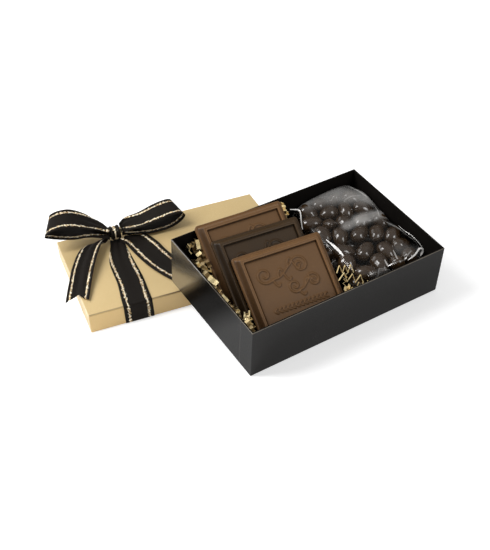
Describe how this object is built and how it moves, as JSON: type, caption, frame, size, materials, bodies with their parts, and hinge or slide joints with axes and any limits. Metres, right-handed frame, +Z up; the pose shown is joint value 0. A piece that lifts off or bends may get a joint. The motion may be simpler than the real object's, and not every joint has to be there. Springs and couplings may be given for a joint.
{
  "type": "opened gift box of chocolates",
  "caption": "Two-piece gift box, opened: a black tray of moulded chocolate bars, crinkled shred and a bag of coated almonds leans on its gold lid, which is tied with a ribbon bow.",
  "frame": {"origin": "the floor under the middle of the whole arrangement's box", "axes": "+X along the tray's long side, +Y from the tray's front to the back, +Z up"},
  "size_m": [0.3242, 0.3176, 0.089],
  "materials": {
    "black_paperboard": "semi-gloss coated paperboard",
    "gold_paperboard": "satin metallic gold paper on board, fine speckle",
    "black_ribbon": "black grosgrain with two metallic gold stripes",
    "milk_chocolate": "smooth moulded chocolate, satin",
    "dark_chocolate": "smooth moulded chocolate, satin",
    "crinkle_paper": "gold cream crinkled paper strips",
    "clear_film": "clear glossy film",
    "almond_coating": "glossy dark chocolate coating"
  },
  "bodies": {
    "lid": {"bow_knot": "black_ribbon", "bow_left_loop": "black_ribbon", "bow_left_tail": "black_ribbon", "bow_right_loop": "black_ribbon", "bow_right_tail": "black_ribbon", "lid_board": "gold_paperboard", "ribbon_back_strand": "black_ribbon", "ribbon_band": "black_ribbon"},
    "tray": {"crinkle_strip_1": "crinkle_paper", "crinkle_strip_2": "crinkle_paper", "crinkle_strip_3": "crinkle_paper", "crinkle_strip_4": "crinkle_paper", "crinkle_strip_5": "crinkle_paper", "crinkle_strip_6": "crinkle_paper", "shred_bed": "crinkle_paper", "shred_cushion": "crinkle_paper", "shred_front_bank": "crinkle_paper", "shred_left_bank": "crinkle_paper", "tray_board": "black_paperboard"},
    "bag": {"almond_01": "almond_coating", "almond_02": "almond_coating", "almond_03": "almond_coating", "almond_04": "almond_coating", "almond_05": "almond_coating", "almond_06": "almond_coating", "almond_07": "almond_coating", "almond_08": "almond_coating", "almond_09": "almond_coating", "almond_10": "almond_coating", "almond_11": "almond_coating", "almond_12": "almond_coating", "almond_13": "almond_coating", "almond_14": "almond_coating", "almond_15": "almond_coating", "almond_16": "almond_coating", "almond_17": "almond_coating", "almond_18": "almond_coating", "almond_19": "almond_coating", "almond_20": "almond_coating", "almond_21": "almond_coating", "almond_22": "almond_coating", "almond_23": "almond_coating", "almond_24": "almond_coating", "almond_25": "almond_coating", "almond_26": "almond_coating", "almond_27": "almond_coating", "almond_28": "almond_coating", "almond_29": "almond_coating", "almond_30": "almond_coating", "almond_31": "almond_coating", "almond_32": "almond_coating", "almond_33": "almond_coating", "almond_34": "almond_coating", "almond_35": "almond_coating", "almond_36": "almond_coating", "bag_film": "clear_film"},
    "front_bar": {"bar_front": "milk_chocolate"},
    "middle_bar": {"bar_middle": "dark_chocolate"},
    "back_bar": {"bar_back": "milk_chocolate"}
  },
  "joints": [
    {"name": "tray_lift", "type": "slide", "parent": "lid", "child": "tray", "axis": [0, 0, 1], "range_m": [0, 0.1]},
    {"name": "bag_lift", "type": "slide", "parent": "tray", "child": "bag", "axis": [0, -0.1857, 0.9826], "range_m": [0, 0.08]},
    {"name": "front_bar_slide", "type": "slide", "parent": "tray", "child": "front_bar", "axis": [0.0687, 0.7205, 0.69], "range_m": [0, 0.09]},
    {"name": "middle_bar_slide", "type": "slide", "parent": "tray", "child": "middle_bar", "axis": [0.0687, 0.7205, 0.69], "range_m": [0, 0.09]},
    {"name": "back_bar_slide", "type": "slide", "parent": "tray", "child": "back_bar", "axis": [0.0687, 0.7205, 0.69], "range_m": [0, 0.09]}
  ]
}
